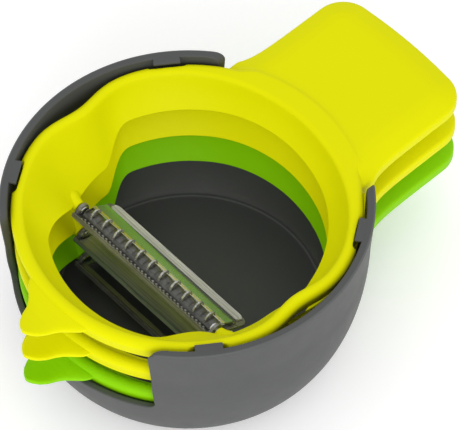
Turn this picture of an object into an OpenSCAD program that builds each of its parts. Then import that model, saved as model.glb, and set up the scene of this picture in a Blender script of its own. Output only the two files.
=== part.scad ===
// Palm slicer set: three ring-shaped hand slicers nested in a storage bowl.
// +Z up, origin at the middle of the bowl's underside, handles toward +Y,
// pointed lips toward -Y, blades and their pivot pins along X. Millimetres.

/* [Bowl] */
// Outside diameter of the bowl at its rim
bowl_d = 89; // [87:0.5:100]
// Height of the bowl
bowl_h = 45.6; // [45.6:0.2:54]
// Thickness of the bowl's side wall
bowl_wall = 1.6; // [1.2:0.1:1.7]
// Width of the flat top face of the rim
rim_face = 2; // [1.8:0.1:2.4]
// Diameter of the flat underside
base_d = 63; // [56:1:64]
// Thickness of the floor
floor_t = 1.3; // [1:0.05:1.3]
// Diameter of the raised line on the floor
floor_ring_d = 66; // [50:0.2:66]
// Clear width of the handle gap and of the lip gap in the wall
notch_w = 51.4; // [50:0.2:56]
// Depth of the lip gap below the rim
lip_notch_drop = 25.5; // [25.4:0.1:27]
// Depth of the handle gap below the rim
handle_notch_drop = 28.5; // [28:0.1:30]
// Radius of the wall's corners at both gaps
notch_r = 2.4; // [1:0.1:4]
// Width of the four small lugs on the rim
lug_w = 6.6; // [4:0.1:9]
// Thickness of a rim lug
lug_t = 0.8; // [0.5:0.1:0.9]
// Direction of a rim lug, measured from the blades' line
lug_angle = 35.5; // [33:0.5:38]

/* [Slicer frames] */
// Height from one nested frame to the next
pitch = 10.28; // [10.1:0.02:10.5]
// Gap between the widest frame and the bowl's inner face
rim_gap = 0.8; // [0.4:0.1:1.2]
// Amount by which each lower frame is smaller in radius
frame_step = 0.35; // [0.3:0.05:0.6]
// Rounding radius of a frame's rim
rim_r = 1.7; // [1.4:0.1:1.9]
// Depth of a frame's rim below the bowl's rim
rim_drop = 1.2; // [1.1:0.1:1.4]
// Depth of the outer skirt
skirt_h = 7; // [6:0.1:7.6]
// Radius of the lower opening
opening_r = 33.4; // [32:0.1:34.5]
// Depth of the lower opening's edge
opening_drop = 9.8; // [9:0.1:10.4]
// Depth of the cheeks that carry the blade
cheek_drop = 16.6; // [16:0.1:17]
// How far the cheeks stand in from the lower opening
cheek_in = 4.6; // [4:0.1:4.9]
// Depth of the waist at each side of the rim
waist_in = 2.8; // [1:0.1:3.4]
// Width of the handle
handle_w = 44; // [38:0.5:46]
// Distance from the bowl's axis to the handle's end
handle_end = 72.9; // [62:0.1:90]
// Depth of the handle's edge below the rim plane
handle_edge = 6.2; // [5.4:0.1:6.8]
// Wall thickness of the handle
handle_t = 1.8; // [1.4:0.1:2.2]
// Distance from the bowl's axis to the lip's tip
lip_end = 51.7; // [49:0.1:56]

/* [Blade units] */
// Length of a blade unit
unit_l = 48; // [46:0.2:48.2]
// Width of a blade unit
unit_w = 15.2; // [14.4:0.1:15.4]
// Thickness of the steel tray
tray_t = 0.6; // [0.5:0.1:0.8]
// Distance of the pivot line from the bowl's axis, toward the lip
pivot_y = 12.8; // [12.6:0.1:13.4]
// Depth of the pivot line below the rim plane
pivot_drop = 16.1; // [15.8:0.1:16.3]
// Rest tilt of a blade unit
tilt = 30.5; // [26:0.5:31]
// Rest tilt of the lowest blade unit, which the floor limits
low_tilt = 27; // [20:0.5:28]
// Diameter of a pivot pin
pin_d = 1.8; // [1.4:0.1:2.2]
// Radial clearance of a pin in its lug
pin_clear = 0.05; // [0.02:0.01:0.1]
// Side gap between a blade unit and a pivot lug
side_gap = 0.5; // [0.3:0.05:0.8]
// Diameter of a pivot lug
boss_d = 4.8; // [4.2:0.1:5.2]
// Spacing of the julienne teeth
tooth_pitch = 4.04; // [3.2:0.02:4.1]
// Height of a julienne tooth
tooth_h = 2.4; // [1.4:0.1:2.6]
// Thickness of a julienne tooth
tooth_t = 0.5; // [0.4:0.05:0.8]

/* [Hidden] */
e = 0.01;

grey = [0.30, 0.31, 0.31];
lime = [0.88, 0.89, 0.03];
green = [0.47, 0.72, 0.03];
steel = [0.74, 0.74, 0.73];

// bowl: the wall leans in a little, then rounds to the flat underside
wall_lean = 0.9;
wall_turn = 13;
base_r = base_d / 2;
belly_r = bowl_d / 2 - wall_lean;
bowl_out = concat([[bowl_d / 2, bowl_h]],
  [for (i = [0 : 12]) [base_r + (belly_r - base_r) * cos(7.5 * i), (bowl_h - wall_turn) * (1 - sin(7.5 * i))]]);
function out_at(z) = z >= bowl_h - wall_turn ? belly_r + wall_lean * (z - bowl_h + wall_turn) / wall_turn
  : base_r + (belly_r - base_r) * sqrt(max(0, 1 - pow((bowl_h - wall_turn - z) / (bowl_h - wall_turn), 2)));
bowl_in = concat(
  [for (i = [0 : 10]) let (z = floor_t + (bowl_h - wall_turn - floor_t) * (1 - cos(9 * i))) [out_at(z) - bowl_wall, z]],
  [[bowl_d / 2 - rim_face, bowl_h]]);
lug_in = bowl_d / 2 - rim_face - 1.8;
ring_r = floor_ring_d / 2;

// frames
rim_z = -rim_drop - rim_r;
crest_r = bowl_d / 2 - rim_face - rim_gap - rim_r;
sweep_n = 96;
function ease(x) = let (t = min(1, max(0, x))) t * t * (3 - 2 * t);
function side(a) = asin(sin(a));
function waist(a) = waist_in * exp(-pow(crest_r * sin(a) / 8.4, 2));
function crest(a, k) = crest_r - k * frame_step - waist(a);
function crest_in(a, k) = crest(a, k) - 2.4 * ease((side(a) - 25) / 60);
function crest_out(a, k) = crest(a, k) + 1.7 * ease((side(a) - 59) / 8);
function cheek_a(a) = ease((16 - side(a)) / 18) * ease((side(a) + 58) / 26);
function cheek_z(a) = ease((18 - side(a)) / 20) * ease((side(a) + 50) / 30);
function low_r(a, k) = opening_r - k * frame_step / 2 - cheek_in * cheek_a(a) - 0.9 * ease((side(a) - 50) / 35);
function low_z(a) = -opening_drop - (cheek_drop - opening_drop) * cheek_z(a) + 1.2 * ease((side(a) - 45) / 40);
function ring_section(a, k) = let (ci = crest_in(a, k), co = crest_out(a, k), lr = low_r(a, k), lz = low_z(a)) [
  [co + rim_r - 1, -skirt_h], [co + rim_r, rim_z],
  [co + rim_r * cos(30), rim_z + rim_r * sin(30)], [co + rim_r * cos(60), rim_z + rim_r * sin(60)], [co, rim_z + rim_r],
  [ci - e, rim_z + rim_r], [ci - rim_r * cos(62), rim_z + rim_r * sin(62)], [ci - rim_r * cos(32), rim_z + rim_r * sin(32)],
  [lr, lz + 0.4], [lr + 0.4, lz], [lr + 1.6, lz],
  [ci - 0.2, rim_z - 1.3], [co + 0.05, rim_z - 1.3], [co - 0.7, -skirt_h]];
frame_h = [0, pitch, 2 * pitch];

// handle outline: straight sides, rounded corners, a slightly bowed end
corner_r = 8;
function handle_outline(g) = let (w = handle_w / 2, c = corner_r, y = handle_end - 0.7 - c) concat(
  [[w - g, 33], [w - g, y]],
  [for (i = [1 : 6]) [w - c + (c - g * 0.9) * cos(15 * i), y + (c - g) * sin(15 * i)]],
  [[0, handle_end - g]],
  [for (i = [6 : -1 : 1]) [-(w - c) - (c - g * 0.9) * cos(15 * i), y + (c - g) * sin(15 * i)]],
  [[-w + g, y], [-w + g, 33]]);
bevel = 5.2;

// lip: distance from the axis as a share of its reach, half width, top
lip_root = 38.5;
lip_sections = [[0, 17.2, -2.1], [0.14, 13.4, -2.1], [0.25, 10, -2.3], [0.36, 7.5, -2.6], [0.47, 5.8, -2.8],
  [0.59, 4.7, -2.9], [0.74, 3.9, -2.8], [0.87, 2.8, -2.6], [0.96, 1.5, -2.4], [1, 0.5, -2.3]];
lip_t = 1.9;

// blade units, drawn level with the pivot line at the origin
unit_u = -2.8;
unit_v = -0.45;
tray_v = unit_v - 0.5;
half_l = unit_l / 2;
boss_in = half_l + side_gap;
pin_in = half_l - 1.1;
pin_out = boss_in + 2.9;
left_strip = [2.9, 2.9, 2.2];
right_strip = [10.6, 10.8, 10.4];
hump = [[2, -0.5], [2.25, 0.2], [2.85, 0.8], [3.7, 1.25], [4.5, 1.4], [5.2, 1.35],
  [5.2, 0.95], [4.5, 0.95], [3.9, 0.8], [3.25, 0.45], [2.8, 0], [2.7, -0.5]];
teeth = 11;

module swept_ring(k) {
  s = len(ring_section(0, k));
  polyhedron(
    points = [for (i = [0 : sweep_n - 1]) let (a = 360 * i / sweep_n) for (p = ring_section(a, k)) [p[0] * cos(a), p[0] * sin(a), p[1]]],
    faces = [for (i = [0 : sweep_n - 1]) let (j = (i + 1) % sweep_n) for (q = [0 : s - 1]) let (r = (q + 1) % s)
      each [[i * s + q, i * s + r, j * s + r], [i * s + q, j * s + r, j * s + q]]]);
}

module handle_shell() {
  difference() {
    hull() {
      translate([0, 0, -handle_edge]) linear_extrude(2.8) polygon(handle_outline(0));
      translate([0, 0, -2]) linear_extrude(0.2) polygon(handle_outline(bevel));
    }
    hull() {
      translate([0, 0, -handle_edge - 1]) linear_extrude(3.2) polygon(handle_outline(handle_t));
      translate([0, 0, -2 - handle_t]) linear_extrude(0.2) polygon(handle_outline(bevel + 0.8));
    }
  }
}

module lip() {
  n = len(lip_sections);
  reach = lip_end - lip_root;
  polyhedron(
    points = [for (s = lip_sections) let (y = -lip_root - reach * s[0], w = s[1], z = s[2]) each
      [[-w, y, z - 0.8], [-w * 0.75, y, z], [w * 0.75, y, z], [w, y, z - 0.8], [w * 0.8, y, z - lip_t], [-w * 0.8, y, z - lip_t]]],
    faces = concat([[5, 4, 3, 2, 1, 0]], [[for (q = [0 : 5]) (n - 1) * 6 + q]],
      [for (i = [0 : n - 2]) for (q = [0 : 5]) let (r = (q + 1) % 6)
        each [[i * 6 + q, i * 6 + r, (i + 1) * 6 + r], [i * 6 + q, (i + 1) * 6 + r, (i + 1) * 6 + q]]]));
}

module slicer_frame(k, c) {
  color(c) translate([0, 0, bowl_h - frame_h[k]]) difference() {
    union() {
      swept_ring(k);
      difference() {
        union() { handle_shell(); lip(); }
        translate([0, 0, -20]) cylinder(r = crest_r - k * frame_step - 0.43, h = 30, $fn = 100);
      }
      for (m = [-1, 1]) translate([m * boss_in, -pivot_y, -pivot_drop]) rotate([0, m * 90, 0])
        cylinder(d = boss_d, h = 4.2, $fn = 48);
    }
    // pin bores, blind
    for (m = [-1, 1]) translate([m * (boss_in - 0.5), -pivot_y, -pivot_drop]) rotate([0, m * 90, 0])
      cylinder(r = pin_d / 2 + pin_clear, h = pin_out - boss_in + 0.8, $fn = 48);
    // reliefs that pass the bowl's rim lugs
    for (a = [lug_angle, 180 - lug_angle, 180 + lug_angle, -lug_angle]) rotate([0, 0, a])
      translate([lug_in - 0.35, -lug_w / 2 - 0.35, -skirt_h - 1]) cube([8, lug_w + 0.7, 12]);
  }
}

// gap outline: rounded lower corners, upper corners eased outward
function gap_side(w, drop) = concat(
  [for (i = [0 : 6]) [w / 2 - notch_r + notch_r * sin(15 * i), -drop + notch_r - notch_r * cos(15 * i)]],
  [[w / 2, -notch_r], [w / 2 + 0.1 * notch_r, -0.56 * notch_r], [w / 2 + 0.36 * notch_r, -0.23 * notch_r],
    [w / 2 + notch_r, 0.14 * notch_r], [w / 2 + notch_r, 5]]);

module notch_cut(w, drop) {
  right = gap_side(w, drop);
  n = len(right);
  rotate([90, 0, 0]) linear_extrude(40)
    polygon(concat(right, [for (i = [n - 1 : -1 : 0]) [-right[i][0], right[i][1]]]));
}

module bowl() {
  color(grey) {
    difference() {
      rotate_extrude($fn = 128) polygon(concat(bowl_out, [[0, 0], [0, floor_t], [ring_r - 0.6, floor_t], [ring_r - 0.5, floor_t + 0.25],
        [ring_r - 0.1, floor_t + 0.25], [ring_r, floor_t]], bowl_in));
      translate([0, -20, bowl_h]) notch_cut(notch_w, lip_notch_drop);
      translate([0, 60, bowl_h]) notch_cut(notch_w, handle_notch_drop);
    }
    for (a = [lug_angle, 180 - lug_angle, 180 + lug_angle, -lug_angle]) rotate([0, 0, a])
      translate([lug_in, -lug_w / 2, bowl_h - lug_t]) cube([2.8, lug_w, lug_t - 0.05]);
  }
}

// places a piece of blade unit k from its level, pivot-centred drawing
module at_unit(k) {
  translate([0, -pivot_y, bowl_h - frame_h[k] - pivot_drop]) rotate([-(k == 2 ? low_tilt : tilt), 0, 0]) children();
}

module strip(points, x0, x1) {
  translate([x0, unit_u, unit_v]) rotate([90, 0, 90]) linear_extrude(x1 - x0) polygon(points);
}

module rounded(x0, x1, y0, y1, r) {
  translate([x0 + r, y0]) square([x1 - x0 - 2 * r, y1 - y0]);
  translate([x0, y0 + r]) square([x1 - x0, y1 - y0 - 2 * r]);
  for (x = [x0 + r, x1 - r]) for (y = [y0 + r, y1 - r]) translate([x, y]) circle(r = r, $fn = 40);
}

module steel_tray(k) {
  u1 = left_strip[k];
  u2 = right_strip[k];
  color(steel) at_unit(k) difference() {
    union() {
      translate([0, unit_u, tray_v - tray_t]) linear_extrude(tray_t) difference() {
        union() {
          rounded(-half_l, half_l, 0, unit_w, 2.2);
          translate([-half_l, 0]) square([unit_l, 3]);
        }
        rounded(-half_l + 1.8, half_l - 1.8, u1, u2, 1.2);
      }
      // upright edge flange
      strip([[0, -0.5 - e], [0.35, -0.5 - e], [0.35, 0], [0, 0]], -half_l, half_l);
      // ears that hold the pins
      for (m = [-1, 1]) translate([m * (half_l - 0.4), 0, 0]) hull() {
        rotate([0, 90, 0]) cylinder(r = pin_d / 2 + 0.9, h = 0.8, center = true, $fn = 32);
        translate([0, 0, tray_v - tray_t / 2]) cube([0.8, 4.6, tray_t], center = true);
      }
    }
    for (m = [-1, 1]) translate([m * half_l, 0, 0]) rotate([0, 90, 0]) cylinder(d = pin_d, h = 4, center = true, $fn = 48);
  }
}

module pin(k, m) {
  color(steel) at_unit(k) rotate([0, m * 90, 0]) {
    translate([0, 0, pin_in]) cylinder(d = pin_d, h = pin_out - pin_in, $fn = 48);
    translate([0, 0, pin_in - 0.2]) cylinder(d = pin_d + 1, h = 0.5, $fn = 48);
  }
}

module guard_rail(k, u0, u1) {
  color(steel) at_unit(k) translate([0, unit_u, tray_v]) linear_extrude(0.6)
    rounded(-half_l + 1.5, half_l - 1.5, u0, u1, (u1 - u0) / 2 - e);
}

module frame_1() { slicer_frame(0, lime); }
module frame_2() { slicer_frame(1, lime); }
module frame_3() { slicer_frame(2, green); }
module tray_1() { steel_tray(0); }
module tray_2() { steel_tray(1); }
module tray_3() { steel_tray(2); }
module pin_1_left() { pin(0, -1); }
module pin_1_right() { pin(0, 1); }
module pin_2_left() { pin(1, -1); }
module pin_2_right() { pin(1, 1); }
module pin_3_left() { pin(2, -1); }
module pin_3_right() { pin(2, 1); }

// curved strip with a row of upright teeth
module julienne_comb() {
  color(steel) at_unit(0) {
    strip(hump, -half_l + 1.6, half_l - 1.6);
    for (i = [0 : teeth - 1]) let (x = (i - (teeth - 1) / 2) * tooth_pitch)
      strip([[2.6, 0.3], [3, 0.9], [3.3, 1.6], [3.9, tooth_h + 0.5], [4.4, tooth_h + 0.6], [4.6, tooth_h - 0.2], [4.9, 1.25], [3.8, 0.9]],
        x - tooth_t / 2, x + tooth_t / 2);
  }
}

// slanted, polished slicing blade behind the teeth
module blade_1() {
  color(steel) at_unit(0) strip([[5.7, 1.15], [11.4, 0.05], [11.4, -0.5], [10.6, -0.5], [10.2, -0.15]], -half_l + 1, half_l - 1);
}

// wide blade with its edge toward the guard rail
module blade_2() {
  color(steel) at_unit(1) strip([[0.45, -0.5], [0.45, -0.05], [2.6, 0.15], [6.6, 0.45], [7.6, 0.4], [6.4, 0], [2.9, -0.3], [2.9, -0.5]],
    -half_l + 1.6, half_l - 1.6);
}

// straight blade on the far side of an open slot
module blade_3() {
  color(steel) at_unit(2) strip([[15, -0.5], [15, 0.05], [10, 0.35], [8.4, 0.3], [9.8, -0.1], [10.6, -0.3], [10.6, -0.5]],
    -half_l + 1.4, half_l - 1.4);
}

module rail_1() { guard_rail(0, 11.7, 15); }
module rail_2() { guard_rail(1, 11.7, 15); }
module rail_3() { guard_rail(2, 0.6, 2); }

bowl();
frame_1();
tray_1();
julienne_comb();
blade_1();
rail_1();
pin_1_left();
pin_1_right();
frame_2();
tray_2();
blade_2();
rail_2();
pin_2_left();
pin_2_right();
frame_3();
tray_3();
blade_3();
rail_3();
pin_3_left();
pin_3_right();
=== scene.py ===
import math
import bpy
import numpy as np
from mathutils import Matrix, Vector


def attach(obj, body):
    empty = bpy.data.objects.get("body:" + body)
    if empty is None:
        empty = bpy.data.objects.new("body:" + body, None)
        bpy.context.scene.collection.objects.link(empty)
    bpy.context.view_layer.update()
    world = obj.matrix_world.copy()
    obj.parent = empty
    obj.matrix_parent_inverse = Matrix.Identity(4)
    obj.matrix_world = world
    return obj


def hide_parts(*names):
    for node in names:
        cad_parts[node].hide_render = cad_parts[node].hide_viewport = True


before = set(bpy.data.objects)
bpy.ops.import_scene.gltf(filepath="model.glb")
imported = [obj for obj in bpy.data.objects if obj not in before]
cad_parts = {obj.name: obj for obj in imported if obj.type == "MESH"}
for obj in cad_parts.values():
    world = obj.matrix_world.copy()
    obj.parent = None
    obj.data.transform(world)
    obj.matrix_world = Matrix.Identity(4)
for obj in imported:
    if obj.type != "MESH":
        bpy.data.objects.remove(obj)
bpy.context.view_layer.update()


# ---------------------------------------------------------------------------
# The table and the light. A plain white table top, a wide overhead softbox
# behind the handle, a weaker one low in front, and an even white surround.
# ---------------------------------------------------------------------------
scene = bpy.context.scene
scene.view_settings.view_transform = "Standard"
scene.view_settings.look = "None"

world = bpy.data.worlds.new("studio")
world.use_nodes = True
world.node_tree.nodes["Background"].inputs["Color"].default_value = (1.0, 1.0, 1.0, 1.0)
world.node_tree.nodes["Background"].inputs["Strength"].default_value = 0.84
scene.world = world

table_mesh = bpy.data.meshes.new("table_top")
table_mesh.from_pydata([(-3, -3, -0.0001), (3, -3, -0.0001), (3, 3, -0.0001), (-3, 3, -0.0001)], [],
    [(0, 1, 2, 3)])
table_top = bpy.data.objects.new("table_top", table_mesh)
scene.collection.objects.link(table_top)
table_paint = bpy.data.materials.new("white_table")
table_paint.use_nodes = True
table_paint.node_tree.nodes["Principled BSDF"].inputs["Base Color"].default_value = (1.0, 1.0, 1.0, 1)
table_paint.node_tree.nodes["Principled BSDF"].inputs["Roughness"].default_value = 0.85
table_paint.node_tree.nodes["Principled BSDF"].inputs["Emission Color"].default_value = (1, 1, 1, 1)
table_paint.node_tree.nodes["Principled BSDF"].inputs["Emission Strength"].default_value = 0.14
table_mesh.materials.append(table_paint)


def softbox(name, at, aim, width, height, watts):
    """A rectangular area light at one point, turned to face another."""
    lamp = bpy.data.lights.new(name, "AREA")
    lamp.shape, lamp.size, lamp.size_y, lamp.energy = "RECTANGLE", width, height, watts
    holder = bpy.data.objects.new(name, lamp)
    holder.location = at
    holder.rotation_mode = "QUATERNION"
    holder.rotation_quaternion = (Vector(aim) - Vector(at)).to_track_quat("-Z", "Y")
    scene.collection.objects.link(holder)


softbox("overhead", (-0.25, 0.35, 1.0), (0.0, 0.0, 0.03), 0.9, 0.7, 0.8)
softbox("front_fill", (0.80, -0.66, 0.62), (0.0, 0.0, 0.02), 0.9, 0.6, 6.0)

# ---------------------------------------------------------------------------
# The camera: a long lens one metre from the middle of the bowl's rim, aimed
# a little to one side of it and turned about its own axis by half a degree.
# ---------------------------------------------------------------------------
rim_height = 0.0456
look_back = Vector((0.43459, -0.38086, 0.81614)).normalized()
level = Vector((0.65909, 0.75207, 0.0)).normalized()
upward = look_back.cross(level)
roll = math.radians(0.58)
eye = Vector((0.0, 0.0, rim_height)) + look_back * 1.0
aim = Vector((0.0, 0.0, rim_height)) + level * 0.009988 - upward * 0.003788
back = (eye - aim).normalized()
level = Vector((-back.y, back.x, 0.0)).normalized()
upward = back.cross(level)
right_axis = level * math.cos(roll) - upward * math.sin(roll)
up_axis = level * math.sin(roll) + upward * math.cos(roll)
lens = bpy.data.cameras.new("camera")
lens.sensor_width, lens.lens = 36.0, 332.4
lens.clip_start, lens.clip_end = 0.05, 20.0
camera = bpy.data.objects.new("camera", lens)
camera.matrix_world = Matrix((
    (right_axis.x, up_axis.x, back.x, eye.x),
    (right_axis.y, up_axis.y, back.y, eye.y),
    (right_axis.z, up_axis.z, back.z, eye.z),
    (0, 0, 0, 1)))
scene.collection.objects.link(camera)
scene.camera = camera


# ---------------------------------------------------------------------------
# The storage bowl. One dark grey injection moulding with a satin finish: a
# wall with a flat-topped rim and two square gaps, a soft turn to the base, a
# fine raised ring on the floor, and four small lugs moulded on the rim.
# ---------------------------------------------------------------------------
class Wire:
    """One output of a shader node. Arithmetic on it adds Math nodes, and node() adds any other."""

    def __init__(self, tree, out):
        self.tree, self.out = tree, out

    def maths(self, operation, other=0.0):
        return self.node("ShaderNodeMath", {"operation": operation}, {0: self, 1: other})

    def __add__(self, other):
        return self.maths("ADD", other)

    def __sub__(self, other):
        return self.maths("SUBTRACT", other)

    def __rsub__(self, other):
        return self.node("ShaderNodeMath", {"operation": "SUBTRACT"}, {0: other, 1: self})

    def __mul__(self, other):
        return self.maths("MULTIPLY", other)

    def __truediv__(self, other):
        return self.maths("DIVIDE", other)

    __radd__, __rmul__ = __add__, __mul__

    def node(self, kind, settings=None, sockets=None, out=0):
        made = self.tree.nodes.new(kind)
        for key, value in (settings or {}).items():
            setattr(made, key, value)
        for key, value in (sockets or {}).items():
            if isinstance(value, Wire):
                self.tree.links.new(value.out, made.inputs[key])
            else:
                made.inputs[key].default_value = value
        return Wire(self.tree, made.outputs[out])

    def to(self, node, socket):
        self.tree.links.new(self.out, node.inputs[socket])


def blank(name, turn=0.0):
    """A new material: (material, shader, Object coordinates turned about X by an angle in radians)."""
    made = bpy.data.materials.new(name)
    made.use_nodes = True
    tree = made.node_tree
    start = Wire(tree, tree.nodes.new("ShaderNodeTexCoord").outputs["Object"])
    if turn:
        start = start.node("ShaderNodeMapping", {}, {"Vector": start, "Rotation": (turn, 0.0, 0.0)})
    return made, tree.nodes["Principled BSDF"], start


def noise(where, scale, detail=3.0, rough=0.5, stretch=(1.0, 1.0, 1.0)):
    """Fractal noise around 0.5, with its coordinates scaled by stretch first."""
    if stretch != (1.0, 1.0, 1.0):
        where = where.node("ShaderNodeVectorMath", {"operation": "MULTIPLY"}, {0: where, 1: stretch})
    return where.node("ShaderNodeTexNoise", {}, {"Vector": where, "Scale": scale, "Detail": detail,
        "Roughness": rough})


def moulded(name, light, dark, rough, grain, shine, painted_highlight=None):
    """Injection-moulded plastic: the tone drifts slowly between two colours, the gloss wanders, and a
    fine grain bumps it.

    The last argument, if given, works out from the coordinates a mask of lines that get a painted highlight,
    lighter than the plastic."""
    made, shader, at = blank(name)
    drift = noise(at, 28.0, 4.0)
    flecks = noise(at, 2400.0, 2.0)
    tone = drift * 0.8 + flecks * 0.35 - 0.08
    body = tone.node("ShaderNodeMix", {"data_type": "RGBA"}, {0: tone, 6: (*dark, 1), 7: (*light, 1)}, 2)
    if painted_highlight:
        # painted highlight: under the mask the colour is lifted to 2.4 times the light tone
        body = body.node("ShaderNodeMix", {"data_type": "RGBA"},
            {0: painted_highlight(at), 6: body, 7: (light[0] * 2.4, light[1] * 2.4, light[2] * 2.4, 1)}, 2)
    body.to(shader, "Base Color")
    gloss = noise(at, 160.0, 3.0) * 0.16 + flecks * 0.06 + (rough - 0.11)
    gloss.to(shader, "Roughness")
    height = flecks * 0.7 + noise(at, 700.0, 2.0) * 0.6
    height.node("ShaderNodeBump", {}, {"Height": height, "Strength": grain, "Distance": 0.00004}).to(shader,
        "Normal")
    shader.inputs["IOR"].default_value = 1.49
    shader.inputs["Specular IOR Level"].default_value = shine
    return made


def faces_of(rows, cols, start=0, wrap_rows=False, wrap_cols=False):
    """Quads between neighbours of a grid of points stored row by row."""
    i = np.arange(rows if wrap_rows else rows - 1)
    j = np.arange(cols if wrap_cols else cols - 1)
    i, j = np.meshgrid(i, j, indexing="ij")
    i2, j2 = (i + 1) % rows, (j + 1) % cols
    quads = np.stack([i * cols + j, i * cols + j2, i2 * cols + j2, i2 * cols + j], axis=-1)
    return (quads.reshape(-1, 4) + start).tolist()


def grid_solid(grid, wrap_rows=False, wrap_cols=False, first=None, last=None):
    """A closed skin over grid[row, column, xyz]. Open ends of the rows are closed on a point or by one
    flat face."""
    rows, cols = grid.shape[:2]
    points = grid.reshape(-1, 3)
    faces = faces_of(rows, cols, 0, wrap_rows, wrap_cols)
    if not wrap_rows:
        ends = ((first, 0), (last, (rows - 1) * cols))
        for pole, base in ends:
            ring = list(range(base, base + cols))
            if pole is None:
                faces.append(ring if base else ring[::-1])
            else:
                points = np.vstack([points, pole])
                tip = len(points) - 1
                pairs = zip(ring, ring[1:] + ring[:1])
                faces += [[a, b, tip] if base else [b, a, tip] for a, b in pairs]
    return points, faces


def volume_of(points, faces):
    """Signed volume inside the faces, as a sum of tetrahedra from the origin."""
    fans = np.array([[f[0], f[i], f[i + 1]] for f in faces for i in range(1, len(f) - 1)])
    a, b, c = points[fans[:, 0]], points[fans[:, 1]], points[fans[:, 2]]
    return float(np.einsum("ij,ij->i", a, np.cross(b, c)).sum() / 6)


def build(name, solids, material, body, nodes=(), crease=40.0):
    """Joins closed skins given in millimetres into one object, each facing outwards, and hangs it on its
    body."""
    points, faces = [], []
    for own_points, own_faces in solids:
        if volume_of(own_points, own_faces) < 0:
            own_faces = [f[::-1] for f in own_faces]
        base = sum(len(p) for p in points)
        points.append(own_points)
        faces += [[base + i for i in f] for f in own_faces]
    mesh = bpy.data.meshes.new(name)
    mesh.from_pydata((np.vstack(points) * 0.001).tolist(), [], faces)
    mesh.update()
    mesh.shade_smooth()
    mesh.set_sharp_from_angle(angle=math.radians(crease))
    mesh.materials.append(material)
    made = bpy.data.objects.new(name, mesh)
    scene.collection.objects.link(made)
    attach(made, body)
    if nodes:
        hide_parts(*nodes)
    return made


bowl_r, bowl_h, wall, rim_face, base_r, floor_t = 44.5, 45.6, 1.6, 2.0, 31.5, 1.3
belly_r, turn_z = bowl_r - 0.9, bowl_h - 13.0
edge = 0.38
gap_half, gap_corner = 25.7, 2.4
handle_gap_drop, lip_gap_drop = 28.5, 25.5
lug_angles = (35.5, 144.5, 215.5, 324.5)


def painted_highlight_lines(at):
    """Two thin painted highlights, in metres: along the floor's raised line and along the rim's outer corner,
    each fading from its radius."""
    x, y, z = (at.node("ShaderNodeSeparateXYZ", {}, {0: at}, axis) for axis in range(3))
    r = (x * x + y * y).maths("SQRT")
    floor_line = 1.0 - (r - 0.0327).maths("ABSOLUTE") / 0.00045
    rim_line = 1.0 - (r - 0.04425).maths("ABSOLUTE") / 0.0003
    low, high = z.maths("LESS_THAN", 0.003), z.maths("GREATER_THAN", 0.0452)
    return (floor_line * low).maths("MAXIMUM") * 0.6 + (rim_line * high).maths("MAXIMUM") * 0.3


# the bowl's grey plastic, with painted highlights on the floor's ring line and on the rim's outer corner
grey_plastic = moulded("grey_satin_plastic", (0.082, 0.085, 0.084), (0.060, 0.062, 0.061), 0.52, 0.5, 0.28,
    painted_highlight_lines)


def outside(z):
    """Outer radius of the bowl: a straight lean above, a quarter ellipse below."""
    low = base_r + (belly_r - base_r) * np.sqrt(np.clip(1 - ((turn_z - z) / turn_z) ** 2, 0, 1))
    return np.where(z >= turn_z, belly_r + 0.9 * (z - turn_z) / 13.0, low)


def inside(z):
    """Inner radius of the bowl: the outer radius less the wall, which thickens to the rim's face."""
    return outside(z) - wall - (rim_face - wall) * np.clip((z - turn_z) / 13.0, 0, 1)


def rim_edge(depth_in, depth_n, inner):
    """The rim's edge line round the whole bowl, offset into the wall.

    Rim zones run by angle at the top height; gap zones follow the gap's outline in x and z, with corner
    arcs of radius 2.4."""
    c, half = gap_corner, gap_half
    radius_at = (lambda z: inside(z) + depth_n) if inner else (lambda z: outside(z) - depth_n)
    xyz, low = [], []
    top_r = bowl_r - rim_face if inner else bowl_r
    open_angle = math.acos((half + c) / top_r)
    for half_turn, drop in enumerate((handle_gap_drop, lip_gap_drop)):
        rim = np.linspace(-1, 1, 130)[1:-1] * open_angle
        z = np.full_like(rim, bowl_h - depth_in)
        r = radius_at(z)
        xyz.append(np.stack([r * np.cos(rim), r * np.sin(rim), z], 1))
        low.append(np.interp(rim, [-open_angle, open_angle], np.radians([-40, 40])))
        t = np.linspace(0, np.pi / 2, 12)
        upper = np.stack([half + c - c * np.sin(t), bowl_h - c + c * np.cos(t), np.sin(t), -np.cos(t)], 1)
        side_z = np.linspace(bowl_h - c, bowl_h - drop + c, 24)[1:-1]
        side = np.stack([np.full_like(side_z, half), side_z, np.ones_like(side_z), np.zeros_like(side_z)], 1)
        lower = np.stack([half - c + c * np.cos(t), bowl_h - drop + c - c * np.sin(t), np.cos(t),
            -np.sin(t)], 1)
        flat_x = np.linspace(half - c, c - half, 60)[1:-1]
        flat = np.stack([flat_x, np.full_like(flat_x, bowl_h - drop), np.zeros_like(flat_x),
            -np.ones_like(flat_x)], 1)
        mirror = np.array([-1, 1, -1, 1.0])
        line = np.vstack([upper, side, lower, flat, lower[::-1] * mirror, side[::-1] * mirror,
            upper[::-1] * mirror])
        x, z = line[:, 0] + depth_in * line[:, 2], line[:, 1] + depth_in * line[:, 3]
        y = np.sqrt(np.maximum(radius_at(z) ** 2 - x ** 2, 1.0))
        xyz.append(np.stack([x, y, z], 1))
        steps = np.linspace(0, 1, len(line))
        low.append(np.radians(np.interp(steps, [0, 0.29, 0.36, 0.64, 0.71, 1],
            [40.3, 53, 57, 123, 127, 139.7])))
        if half_turn == 0:
            continue
        # the second half of the bowl is the first turned about its axis, with its own gap depth
        xyz[-2:] = [p * np.array([-1, -1, 1.0]) for p in xyz[-2:]]
        low[-2:] = [v + np.pi for v in low[-2:]]
    return np.vstack(xyz), np.concatenate(low)


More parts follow.
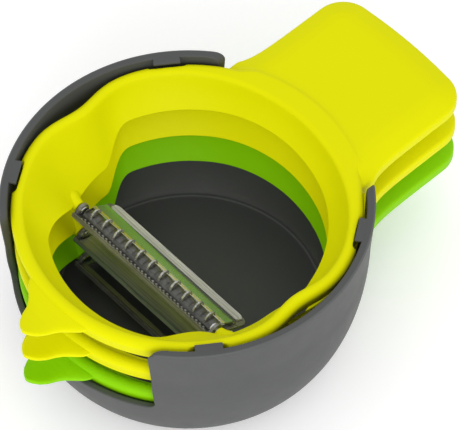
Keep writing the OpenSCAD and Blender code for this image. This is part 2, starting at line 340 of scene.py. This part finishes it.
def wall_rows(edge_line, low_angles, radius, foot, count):
    """Rows on the wall's surface from the edge line to a level ring, sliding in height and angle together."""
    angle = np.arctan2(edge_line[:, 1], edge_line[:, 0])
    angle = low_angles + (angle - low_angles + np.pi) % (2 * np.pi) - np.pi
    share = (np.linspace(0, 1, count + 1)[1:] ** 1.15)[:, None]
    z = edge_line[None, :, 2] * (1 - share) + foot * share
    a = angle[None] * (1 - share) + low_angles[None] * share
    r = radius(z)
    return np.stack([r * np.cos(a), r * np.sin(a), z], -1)


def level_rows(pairs, low_angles):
    """Level rings given as (radius, height)."""
    r, z = np.array(pairs).T
    a = low_angles[None]
    return np.stack([r[:, None] * np.cos(a), r[:, None] * np.sin(a),
        np.broadcast_to(z[:, None], (len(r), a.shape[1]))], -1)


arc = np.linspace(0, np.pi / 2, 6)
outer_edges = [rim_edge(edge * (1 - math.sin(t)), edge * (1 - math.cos(t)), False) for t in arc]
inner_edges = [rim_edge(edge * (1 - math.sin(t)), edge * (1 - math.cos(t)), True) for t in arc]
low_angles = outer_edges[0][1]
foot = 12.0
turn = np.linspace(0, 1, 25)[1:]
low_out = foot * (1 - turn) ** 1.6
outer_low = [(float(outside(np.array(z))), z) for z in low_out if z > 0.35] + [(base_r + 1.0, 0.12),
    (base_r, 0.0), (base_r - 1.5, 0.0),
    (27, 0.0), (26.6, 0.25), (20, 0.25), (10, 0.25)]
inner_low = [(float(inside(np.array(z))), z) for z in foot - (foot - floor_t) * turn[:-2] ** 1.3]
inner_low = [p for p in inner_low if p[1] > floor_t + 0.35] + [(33.6, floor_t + 0.1),
    (33.35, floor_t + 0.02), (33.08, floor_t), (32.98, floor_t + 0.02),
    (32.86, floor_t + 0.05), (32.7, floor_t + 0.06), (32.54, floor_t + 0.05), (32.42, floor_t + 0.02),
    (32.3, floor_t), (31.5, floor_t),
    (28, floor_t), (20, floor_t), (10, floor_t)]
bowl_rows = np.concatenate([
    level_rows(outer_low, low_angles)[::-1],
    wall_rows(outer_edges[0][0], low_angles, outside, foot, 22)[::-1],
    np.stack([e[0] for e in outer_edges]),
    np.stack([e[0] for e in inner_edges[::-1]]),
    wall_rows(inner_edges[0][0], low_angles, inside, foot, 22),
    level_rows(inner_low, low_angles)])
bowl_skin = grid_solid(bowl_rows, wrap_cols=True, first=[0, 0, 0.25], last=[0, 0, floor_t])


def rounded_block(middle, half, radius, turned):
    """A block with rounded edges: a sphere of that radius pulled apart into its eight octants, turned
    about Z."""
    t = np.linspace(0, np.pi / 2, 5)
    lat = np.concatenate([t - np.pi / 2, t])
    lon = np.concatenate([t + q * np.pi / 2 for q in range(4)])
    la, lo = np.meshgrid(lat, lon, indexing="ij")
    n = np.stack([np.cos(la) * np.cos(lo), np.cos(la) * np.sin(lo), np.sin(la)], -1)
    sx = np.repeat([1, -1, -1, 1], 5)[None, :] * np.ones_like(la)
    sy = np.repeat([1, 1, -1, -1], 5)[None, :] * np.ones_like(la)
    sz = np.repeat([-1, 1], 5)[:, None] * np.ones_like(la)
    core = np.array(half) - radius
    p = n * radius + np.stack([sx * core[0], sy * core[1], sz * core[2]], -1)
    p = p + np.array(middle)
    c, s = math.cos(turned), math.sin(turned)
    p = np.stack([p[..., 0] * c - p[..., 1] * s, p[..., 0] * s + p[..., 1] * c, p[..., 2]], -1)
    return grid_solid(p, wrap_cols=True)


lugs = [rounded_block((42.1, 0, bowl_h - 0.425), (1.4, 3.3, 0.375), 0.22,
    math.radians(a)) for a in lug_angles]
build("bowl_shell", [bowl_skin] + lugs, grey_plastic, "storage_bowl", ["bowl"], 50.0)


# ---------------------------------------------------------------------------
# The three slicer frames. Each is one glossy moulding: a ring with a rounded
# rim and a funnel wall, a hollow handle, a pointed lip, and two lugs inside
# that hold the blade's pins. Two are yellow-lime, the lowest is green.
# ---------------------------------------------------------------------------
pitch, step, rim_r, skirt = 10.28, 0.35, 1.7, 7.0
crest_r, rim_z = 40.0, -2.9
pivot_y, pivot_drop = 12.8, 16.1
lime_plastic = moulded("lime_gloss_plastic", (0.735, 0.725, 0.0005), (0.69, 0.69, 0.0005), 0.46, 0.22, 0.05)
green_plastic = moulded("green_gloss_plastic", (0.255, 0.61, 0.001), (0.22, 0.56, 0.001), 0.46, 0.22, 0.07)


def ease(x):
    """Smooth step from 0 to 1."""
    t = np.clip(x, 0, 1)
    return t * t * (3 - 2 * t)


def frame_ring(k, count=384):
    """The ring: a closed section carried round a full turn, with a waist at each side, cheeks down to the
    blade and a wider band at the handle."""
    a = np.linspace(0, 2 * np.pi, count, endpoint=False)
    side = np.degrees(np.arcsin(np.sin(a)))
    crest = crest_r - k * step - 2.8 * np.exp(-(crest_r * np.sin(a) / 8.4) ** 2)
    ci = crest - 2.4 * ease((side - 25) / 60)
    co = crest + 1.7 * ease((side - 59) / 8)
    cheek_a = ease((16 - side) / 18) * ease((side + 58) / 26)
    cheek_z = ease((18 - side) / 20) * ease((side + 50) / 30)
    lr = 33.4 - k * step / 2 - 4.6 * cheek_a - 0.9 * ease((side - 50) / 35)
    lz = -9.8 - 6.8 * cheek_z + 1.2 * ease((side - 45) / 40)
    one = np.ones_like(a)
    rows = [(co + 0.25, -skirt * one), (co + 0.52, -skirt * one), (co + 0.68, (-skirt + 0.16) * one)]
    rows += [(co + 0.7 + s, -skirt + (rim_z + skirt) * s + 0 * a) for s in (0.25, 0.5, 0.75)]
    outer_turn = np.radians(np.linspace(0, 90, 10))
    inner_turn = np.radians(np.linspace(90, 143, 8))
    rows += [(co + rim_r * math.cos(t), rim_z + rim_r * math.sin(t) + 0 * a) for t in outer_turn]
    rows += [(co + (ci - co) * s, rim_z + rim_r + 0 * a) for s in (0.25, 0.5, 0.75)]
    rows += [(ci + rim_r * math.cos(t), rim_z + rim_r * math.sin(t) + 0 * a) for t in inner_turn]
    r0, z0 = rows[-1]
    for s in np.linspace(0, 1, 13)[1:]:
        hollow = 0.55 * math.sin(math.pi * s)
        rows.append((r0 + (lr - r0) * s + hollow * 0.6, z0 + (lz + 0.4 - z0) * s - hollow * 0.25))
    rows += [(lr + 0.1, lz + 0.15), (lr + 0.3, lz), (lr + 0.8, lz), (lr + 1.3, lz), (lr + 1.55, lz + 0.15)]
    u0, w0, u1, w1 = lr + 1.6, lz + 0.4, ci - 0.2, rim_z - 1.3
    rows += [(u0 + (u1 - u0) * s, w0 + (w1 - w0) * s) for s in (0.0, 0.33, 0.66, 0.95)]
    rows += [(ci + 0.2, w1 + 0 * a), (co - 0.1, w1 + 0 * a), (co + 0.05, w1 - 0.25 + 0 * a),
        (co - 0.1, -skirt + 1.0 + 0 * a), (co - 0.1, -skirt + 0.12 + 0 * a)]
    r = np.array([p[0] * one for p in rows])
    z = np.array([p[1] * one for p in rows])
    for lug in np.radians(lug_angles):
        off = (a - lug + np.pi) % (2 * np.pi) - np.pi
        limit = 40.35 / np.cos(np.clip(off, -0.3, 0.3))
        near = ease((4.5 - np.abs(crest_r * off)) / 0.8)
        r = r - near * np.maximum(0, r - limit)
    grid = np.stack([r * np.cos(a), r * np.sin(a), z], -1)
    return grid_solid(grid, wrap_rows=True, wrap_cols=True)


def handle_shell(k):
    """The handle: its outline (straight sides, round corners, a bowed end) offset inwards by d, with
    height a profile of d.

    Past d = 7 each ray runs on to a spine on the handle's middle line. The open end is slid onto a circle
    inside the ring."""
    w, c, end, start = 22.0, 8.0, 72.9, 33.0
    y_c = end - 0.7 - c
    t = np.radians(np.linspace(0, 88, 16))
    near = np.linspace(0, 1, 41)[:-1] ** 1.8
    sx = np.concatenate([np.full(40, w), w - c + c * np.cos(t), np.linspace(w - c, 0, 16)[1:]])
    sy = np.concatenate([start + (y_c - start) * near, y_c + c * np.sin(t), np.zeros(15)])
    sy[56:] = end - 0.7 * (np.linspace(w - c, 0, 16)[1:] / (w - c)) ** 2
    nx = np.concatenate([np.ones(40), np.cos(t), np.linspace(0.035, 0, 15)])
    ny = np.sqrt(1 - nx ** 2)
    sx, sy = np.concatenate([sx, -sx[-2::-1]]), np.concatenate([sy, sy[-2::-1]])
    nx, ny = np.concatenate([nx, -nx[-2::-1]]), np.concatenate([ny, ny[-2::-1]])
    spine_y = start + (sy - start) * 0.66

    def row(d, z):
        """One row at inward distance d; beyond 7 mm a share of the ray to the spine, as d - 7."""
        m = min(d, 7.0)
        x, y = sx - m * nx, sy - m * ny
        if d > 7:
            x, y = x * (8 - d), y + (spine_y - y) * (d - 7)
        flare = 1.9 * np.exp(-np.maximum(y - 38.0, 0) / 3.4) * (np.abs(x) / 22) ** 3
        seat = np.sqrt(np.maximum(39.75 ** 2 - x ** 2, 0)) - k * step
        y = y + (seat - start) * ease((58 - y) / 25.0)
        x = x + np.sign(x) * flare
        out = np.hypot(x, y) + k * step
        fillet = 0.5 * np.exp(-np.maximum(out - 42.3, 0) / 0.8) if d > 2 else 0
        return np.stack([x, y, z + fillet + 0 * x], -1)

    top = [(0.22, -6.2), (0.06, -6.12), (0, -5.9), (0, -5.0), (0, -4.2), (0.03, -3.8), (0.14, -3.5),
        (0.4, -3.27), (0.8, -3.1), (1.6, -2.84),
        (2.6, -2.53), (3.6, -2.24), (4.3, -2.07), (4.9, -1.97), (5.4, -1.93), (5.8, -1.85)]
    low = [(1.6, -6.2), (1.74, -6.12), (1.8, -5.9), (1.8, -5.6), (1.8, -5.3), (1.8, -5.15), (1.85, -5.05),
        (2.0, -4.95), (2.2, -4.85), (2.6, -4.72),
        (3.4, -4.45), (4.2, -4.2), (4.9, -3.95), (5.5, -3.78), (6.0, -3.68), (6.5, -3.62)]
    ridge = (7, 7.1, 7.3, 7.5, 7.7, 7.9, 8)
    top += [(d, -1.8) for d in ridge]
    low += [(d, -3.6) for d in ridge]
    up = np.stack([row(*p) for p in top])
    under = np.stack([row(*p) for p in low])
    n, m = up.shape[:2]
    grid = np.concatenate([under[::-1], up])
    points = grid.reshape(-1, 3)
    faces = faces_of(2 * n, m)
    for col in (0, m - 1):
        ladder = [[(n - 1 - j) * m + col, (n - 2 - j) * m + col, (n + j + 1) * m + col,
            (n + j) * m + col] for j in range(n - 1)]
        faces += [f[::-1] for f in ladder] if col == 0 else ladder
    return weld(points, faces)


def weld(points, faces):
    """Merges points closer than a thousandth of a millimetre and drops faces that close up."""
    _, first, where = np.unique(np.round(points, 3), axis=0, return_index=True, return_inverse=True)
    where = where.ravel()
    kept = []
    for f in faces:
        g = [int(where[i]) for i in f]
        g = [v for i, v in enumerate(g) if v != g[i - 1]]
        if len(set(g)) == len(g) and len(g) > 2:
            kept.append(g)
    return points[first], kept


def lip_blade(k):
    """The lip: rounded flat sections along -Y, their half width and height read off smooth curves of the
    share of its reach."""
    s = np.linspace(0, 1, 44)
    share = np.array([0, 0.14, 0.25, 0.36, 0.47, 0.59, 0.74, 0.87, 0.96, 1.0])
    width = np.array([10.6, 10.2, 9.2, 7.5, 5.9, 4.8, 4.0, 2.9, 1.6, 0.5])
    tops = np.array([-2.1, -2.1, -2.3, -2.6, -2.8, -2.9, -2.8, -2.6, -2.4, -2.3])
    fine = np.linspace(0, 1, 400)
    blur = np.exp(-np.linspace(-2, 2, 31) ** 2)
    blur /= blur.sum()
    smooth = [np.convolve(np.pad(np.interp(fine, share, v), 15, "reflect", reflect_type="odd"), blur,
        "valid") for v in (width, tops)]
    w = np.maximum(np.interp(s, fine, smooth[0]), 0.35)
    z = np.interp(s, fine, smooth[1])
    thick = 1.9 - 0.5 * s ** 3
    y = -(38.5 + 13.15 * s)
    t = np.linspace(0, 2 * np.pi, 28, endpoint=False)
    flat = 0.55
    cx = np.sign(np.cos(t)) * np.abs(np.cos(t)) ** flat
    cz = np.sign(np.sin(t)) * np.abs(np.sin(t)) ** flat
    cz = np.where(cz > 0, cz, cz * 0.9)
    grid = np.stack([w[:, None] * cx[None], y[:, None] + 0 * cx[None],
        (z - thick / 2)[:, None] + thick[:, None] / 2 * cz[None]], -1)
    return grid_solid(grid, wrap_cols=True, last=[0, -51.7, z[-1] - 0.8])


def spun(profile, axis_point, direction, count=40):
    """A profile of (distance along X, radius) turned about a line parallel to X."""
    x, r = np.array(profile, float).T
    t = np.linspace(0, 2 * np.pi, count, endpoint=False)
    grid = np.stack([direction * x[:, None] + 0 * t[None], axis_point[0] + r[:, None] * np.cos(t),
        axis_point[1] + r[:, None] * np.sin(t)], -1)
    a, b = grid[0].mean(0), grid[-1].mean(0)
    return grid_solid(grid, wrap_cols=True, first=a, last=b)


boss_profile = [(28.1, 0.3), (28.1, 0.95), (24.6, 0.95), (24.5, 1.05), (24.5, 1.25), (24.58, 1.42),
    (24.8, 1.52), (25.4, 1.62), (26.1, 1.85), (26.8, 2.2), (27.4, 2.4), (28.7, 2.4), (28.7, 1.2)]
slicers = (("slicer_1", lime_plastic, "lime_plastic"), ("slicer_2", lime_plastic, "lime_plastic"),
    ("slicer_3", green_plastic, "green_plastic"))
for k, (body, plastic, slot) in enumerate(slicers):
    solids = [frame_ring(k), handle_shell(k), lip_blade(k)] + [spun(boss_profile, (-pivot_y, -pivot_drop),
        m) for m in (1, -1)]
    lifted = [(p + np.array([0, 0, bowl_h - k * pitch]), f) for p, f in solids]
    build("slicer_frame_%d" % (k + 1), lifted, plastic, body, ["frame_%d" % (k + 1)], 38.0)


# ---------------------------------------------------------------------------
# The blade units' trays, rails and pins. Stainless sheet, brushed along its
# length; the rails are a coarser brush and the pins are turned and bright.
# ---------------------------------------------------------------------------
def brushed(name, tone, turn, rough, depth, along, metal=1.0):
    """Brushed stainless: noise drawn out along X sets fine bright and dark lines, their roughness and a
    shallow bump."""
    made, shader, at = blank(name, turn)
    lines = noise(at, 9.0, 6.0, 0.75, along)
    smudge = noise(at, 90.0, 3.0)
    shade = lines * 3.4 + smudge * 0.3 - 1.3
    dark = tuple(v * 0.38 for v in tone)
    shade.node("ShaderNodeMix", {"data_type": "RGBA"}, {0: shade, 6: (*dark, 1), 7: (*tone, 1)},
        2).to(shader, "Base Color")
    (lines * 0.3 + smudge * 0.12 + (rough - 0.2)).to(shader, "Roughness")
    lines.node("ShaderNodeBump", {}, {"Height": lines, "Strength": depth, "Distance": 0.00006}).to(shader,
        "Normal")
    shader.inputs["Metallic"].default_value = metal
    return made


def dress(node, material):
    """Gives a CAD node its finish."""
    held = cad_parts[node]
    if not held.material_slots:
        held.data.materials.append(material)
    for place in held.material_slots:
        place.material = material


tilts = [math.radians(30.5), math.radians(30.5), math.radians(27.0)]
tray_steel = [brushed("brushed_tray_steel_%d" % (k + 1), (0.30, 0.30, 0.27), tilts[k], 0.36, 0.5,
    (7.0, 190.0, 190.0), 0.6) for k in range(3)]
# the lowest rail's dark olive tone is painted shade with a painted reflection of the green frame; the upper
# two keep the steel's light tone
rail_tones = ((0.66, 0.655, 0.66), (0.66, 0.655, 0.66), (0.20, 0.21, 0.10))
rail_steel = [brushed("brushed_rail_steel_%d" % (k + 1), rail_tones[k], tilts[k], 0.5, 1.0,
    (6.0, 240.0, 240.0), 0.3) for k in range(3)]
pin_steel = brushed("turned_pin_steel", (0.74, 0.74, 0.72), 0.0, 0.2, 0.1, (60.0, 30.0, 30.0))
for k in range(3):
    dress("tray_%d" % (k + 1), tray_steel[k])
    dress("rail_%d" % (k + 1), rail_steel[k])
    dress("pin_%d_left" % (k + 1), pin_steel)
    dress("pin_%d_right" % (k + 1), pin_steel)


# ---------------------------------------------------------------------------
# The cutting blades. Ground and polished stainless: the top unit's slanted
# face mirrors the rings, the middle one is a wide brushed blade, and the
# lowest is straight. The julienne comb is a curved strip with eleven teeth.
# ---------------------------------------------------------------------------
def polished(name, tone, rough):
    """Polished stainless: a mirror with faint wipe marks and a trace of fine grinding lines."""
    made, shader, at = blank(name, tilts[0])
    haze = noise(at, 140.0, 4.0)
    lines = noise(at, 9.0, 4.0, 0.6, (10.0, 500.0, 500.0))
    shade = haze * 0.5 + lines * 0.4
    dark = tuple(v * 0.8 for v in tone)
    shade.node("ShaderNodeMix", {"data_type": "RGBA"}, {0: shade, 6: (*dark, 1), 7: (*tone, 1)},
        2).to(shader, "Base Color")
    (haze * 0.08 + lines * 0.06 + (rough - 0.05)).to(shader, "Roughness")
    haze.node("ShaderNodeBump", {}, {"Height": haze * 0.6 + lines * 0.4, "Strength": 0.12,
        "Distance": 0.00008}).to(shader, "Normal")
    shader.inputs["Metallic"].default_value = 0.88
    return made


mirror_steel = polished("polished_blade_steel", (0.66, 0.65, 0.64), 0.14)
ground_steel = brushed("ground_blade_steel", (0.52, 0.51, 0.47), tilts[1], 0.42, 1.0, (5.0, 230.0, 230.0),
    0.6)
# painted shade: the comb strip's steel is coloured near black, far darker than its teeth of the same steel
comb_steel = brushed("comb_steel", (0.13, 0.13, 0.12), tilts[0], 0.34, 0.4, (60.0, 200.0, 200.0), 0.8)
tooth_steel = brushed("tooth_steel", (0.55, 0.55, 0.52), tilts[0], 0.25, 0.3, (60.0, 200.0, 200.0), 0.7)
dimple_steel = brushed("dimple_steel", (0.36, 0.36, 0.34), tilts[0], 0.3, 0.2, (60.0, 200.0, 200.0), 0.7)
# painted highlight: the channel's bead is coloured near white, tinted by a painted reflection of the yellow
# frame
lip_steel = brushed("bright_lip_steel", (0.95, 0.94, 0.80), tilts[0], 0.3, 0.2, (6.0, 100.0, 100.0), 0.35)
dress("blade_2", ground_steel)
dress("blade_3", ground_steel)


def in_unit(points, k):
    """Places points drawn level, with the pivot at the origin, at the unit's tilt and height."""
    c, s = math.cos(tilts[k]), math.sin(tilts[k])
    x, y, z = points[..., 0], points[..., 1], points[..., 2]
    return np.stack([x, y * c + z * s - pivot_y, -y * s + z * c + bowl_h - k * pitch - pivot_drop], -1)


pitch_x, unit_u, unit_v = 4.04, -2.8, -0.45


def carried(section, x):
    """A section of (across, up) carried straight along the blade through the given places."""
    return np.stack([x[:, None] + 0 * section[:, 0], unit_u + section[:, 0] + 0 * x[:, None],
        unit_v + section[:, 1] + 0 * x[:, None]], -1)


def comb_strip():
    """The curved strip: its section runs over the hump and back under it, swelling a little between the
    teeth."""
    over = np.array([(2, -0.5), (2.05, -0.2), (2.25, 0.2), (2.5, 0.52), (2.85, 0.8), (3.25, 1.05),
        (3.7, 1.25), (4.1, 1.36), (4.5, 1.4), (4.9, 1.39), (5.2, 1.35)])
    under = np.array([(5.2, 0.95), (4.9, 0.97), (4.5, 0.95), (3.9, 0.8), (3.55, 0.62), (3.25, 0.45),
        (3.0, 0.24), (2.8, 0), (2.74, -0.25), (2.7, -0.5)])
    x = np.linspace(-22.4, 22.4, 340)
    swell = np.abs(np.cos(np.pi * x / pitch_x)) ** 0.5
    swell = np.where(np.abs(x) > 22.2, 1.0, swell)
    top = np.stack([x[:, None] + 0 * over[:, 0], unit_u + over[:, 0] + 0 * x[:, None],
        unit_v + over[None, :, 1] - 0.34 * (1 - swell)[:, None] * np.clip(over[None, :, 1] + 0.3, 0, 1)], -1)
    low = np.stack([x[:, None] + 0 * under[:, 0], unit_u + under[:, 0] + 0 * x[:, None],
        unit_v + under[:, 1] - 0.12 + 0 * x[:, None]], -1)
    return grid_solid(np.concatenate([top, low], 1), wrap_cols=True)


def tooth(x):
    """One hooked tooth: a crescent fin arching over the strip, its middle line half an ellipse and its
    width tapering to both ends."""
    t = np.linspace(0, 1, 22)
    swing = np.radians(200 - 168 * t)
    line = np.stack([3.95 + 1.6 * np.cos(swing), 0.55 + 2.05 * np.sin(swing)], 1)
    way = np.stack([np.cos(swing) / 1.6, np.sin(swing) / 2.05], 1)
    way /= np.linalg.norm(way, axis=1)[:, None]
    half = 0.08 + 0.36 * np.sin(np.pi * np.clip(t, 0.08, 0.97)) ** 0.8
    layers = [(-0.30, 0.55), (-0.24, 0.85), (-0.12, 1.0), (0.12, 1.0), (0.24, 0.85), (0.30, 0.55)]
    grid = []
    for dx, g in layers:
        outline = np.vstack([line + way * (half * g)[:, None], (line - way * (half * g)[:, None])[::-1]])
        grid.append(np.stack([x + dx + 0 * outline[:, 0], unit_u + outline[:, 0], unit_v + outline[:, 1]],
            -1))
    return grid_solid(np.stack(grid), wrap_cols=True)


def slanted_face():
    """The top unit's blade: a flat face falling from the comb to the rail, turned down at its foot."""
    section = np.array([(5.5, 1.2), (5.62, 1.24), (7.0, 1.05), (9.2, 0.75), (11.2, 0.48), (11.36, 0.42),
        (11.4, 0.3), (11.38, -0.1), (11.3, -0.5), (10.7, -0.5),
        (10.8, -0.1), (10.7, 0.12), (8.5, 0.5), (6.5, 0.85), (5.7, 1.0)])
    x = np.linspace(-23.0, 23.0, 60)
    return grid_solid(carried(section, x), wrap_cols=True)


def channel_strip():
    """The pressed channel between the tray's edge and the comb: a thin plate coloured dark as painted shade,
    then its lip coloured bright as a painted highlight, and two rows of low round dimples."""
    section = np.array([(0.5, -0.5), (0.5, -0.42), (0.9, -0.4), (1.6, -0.4), (2.1, -0.42), (2.1, -0.5)])
    x = np.linspace(-22.4, 22.4, 30)
    bead = np.array([(0.02, -0.5), (0.0, -0.36), (0.08, -0.22), (0.24, -0.16), (0.4, -0.22), (0.48, -0.36),
        (0.46, -0.5)])
    t = np.linspace(0, 2 * np.pi, 13)[:-1]
    ring = np.array([(0.36, -0.42), (0.34, -0.34), (0.26, -0.27), (0.12, -0.24)])
    dots = []
    for row, (u, shift) in enumerate(((0.92, 0.0), (1.66, 0.5))):
        for x_dot in (np.arange(-17, 18) + shift)[: 35 - row] * 1.27:
            dome = np.stack([x_dot + ring[:, :1] * np.cos(t), unit_u + u + ring[:, :1] * np.sin(t),
                unit_v + ring[:, 1:] + 0 * t[None]], -1)
            dots.append(grid_solid(dome, wrap_cols=True))
    plate, lip = carried(section, x), carried(bead, x)
    return grid_solid(plate, wrap_cols=True), grid_solid(lip, wrap_cols=True), dots


def rolled_rail(u0, u1):
    """The guard rail: a flat strip with both long edges rolled up into low beads, and a shallow groove
    along its middle."""
    w = u1 - u0
    s = np.linspace(0, 1, 26)
    beads = 0.16 * np.exp(-((s - 0.1) / 0.07) ** 2) + 0.13 * np.exp(-((s - 0.9) / 0.06) ** 2)
    groove = 0.07 * np.exp(-((s - 0.5) / 0.12) ** 2)
    drop = 0.18 * (np.abs(2 * s - 1) ** 8)
    top = np.stack([u0 + w * s, -0.02 + (beads - groove) - drop], 1)
    low = np.stack([u0 + w * s[::-1], -0.5 + 0 * s], 1)[1:-1]
    section = np.vstack([top, low])
    x = np.linspace(-1, 1, 90)
    x = 22.5 * np.sin(x * np.pi / 2)
    inset = 1 - np.sqrt(np.clip(1 - np.clip((np.abs(x) - 20.9) / 1.6, 0, 0.97) ** 2, 0, 1))
    mid = (u0 + u1) / 2
    u = mid + (section[None, :, 0] - mid) * (1 - inset[:, None] * 0.75)
    grid = np.stack([x[:, None] + 0 * u, unit_u + u, unit_v + section[None, :, 1] + 0 * u], -1)
    return grid_solid(grid, wrap_cols=True)


# painted shade: the channel's plate is coloured near black, darker than the tray steel it is pressed from
dark_steel = brushed("dark_channel_steel", (0.13, 0.13, 0.12), tilts[0], 0.4, 0.4, (60.0, 300.0, 300.0), 0.9)
(plate, plate_faces), (lip, lip_faces), dots = channel_strip()
build("channel_floor", [(in_unit(plate, 0), plate_faces)], dark_steel, "blade_unit_1", [],
    60.0)
build("channel_lip", [(in_unit(lip, 0), lip_faces)], lip_steel, "blade_unit_1", [], 60.0)
build("channel_dimples", [(in_unit(p, 0), f) for p, f in dots], dimple_steel, "blade_unit_1",
    [], 60.0)
for k in (0, 1):
    rail_points, rail_faces = rolled_rail(11.7, 15.0)
    build("rolled_rail_%d" % (k + 1), [(in_unit(rail_points, k), rail_faces)], rail_steel[k],
        "blade_unit_%d" % (k + 1), ["rail_%d" % (k + 1)], 50.0)
slanted, slanted_faces = slanted_face()
build("slanted_blade", [(in_unit(slanted, 0), slanted_faces)], mirror_steel,
    "blade_unit_1", ["blade_1"], 30.0)
strip, strip_faces = comb_strip()
build("julienne_strip", [(in_unit(strip, 0), strip_faces)], comb_steel, "blade_unit_1",
    ["julienne_comb"], 35.0)
teeth = [tooth((i - 5) * pitch_x) for i in range(11)]
build("julienne_teeth", [(in_unit(p, 0), f) for p, f in teeth], tooth_steel, "blade_unit_1",
    [], 35.0)
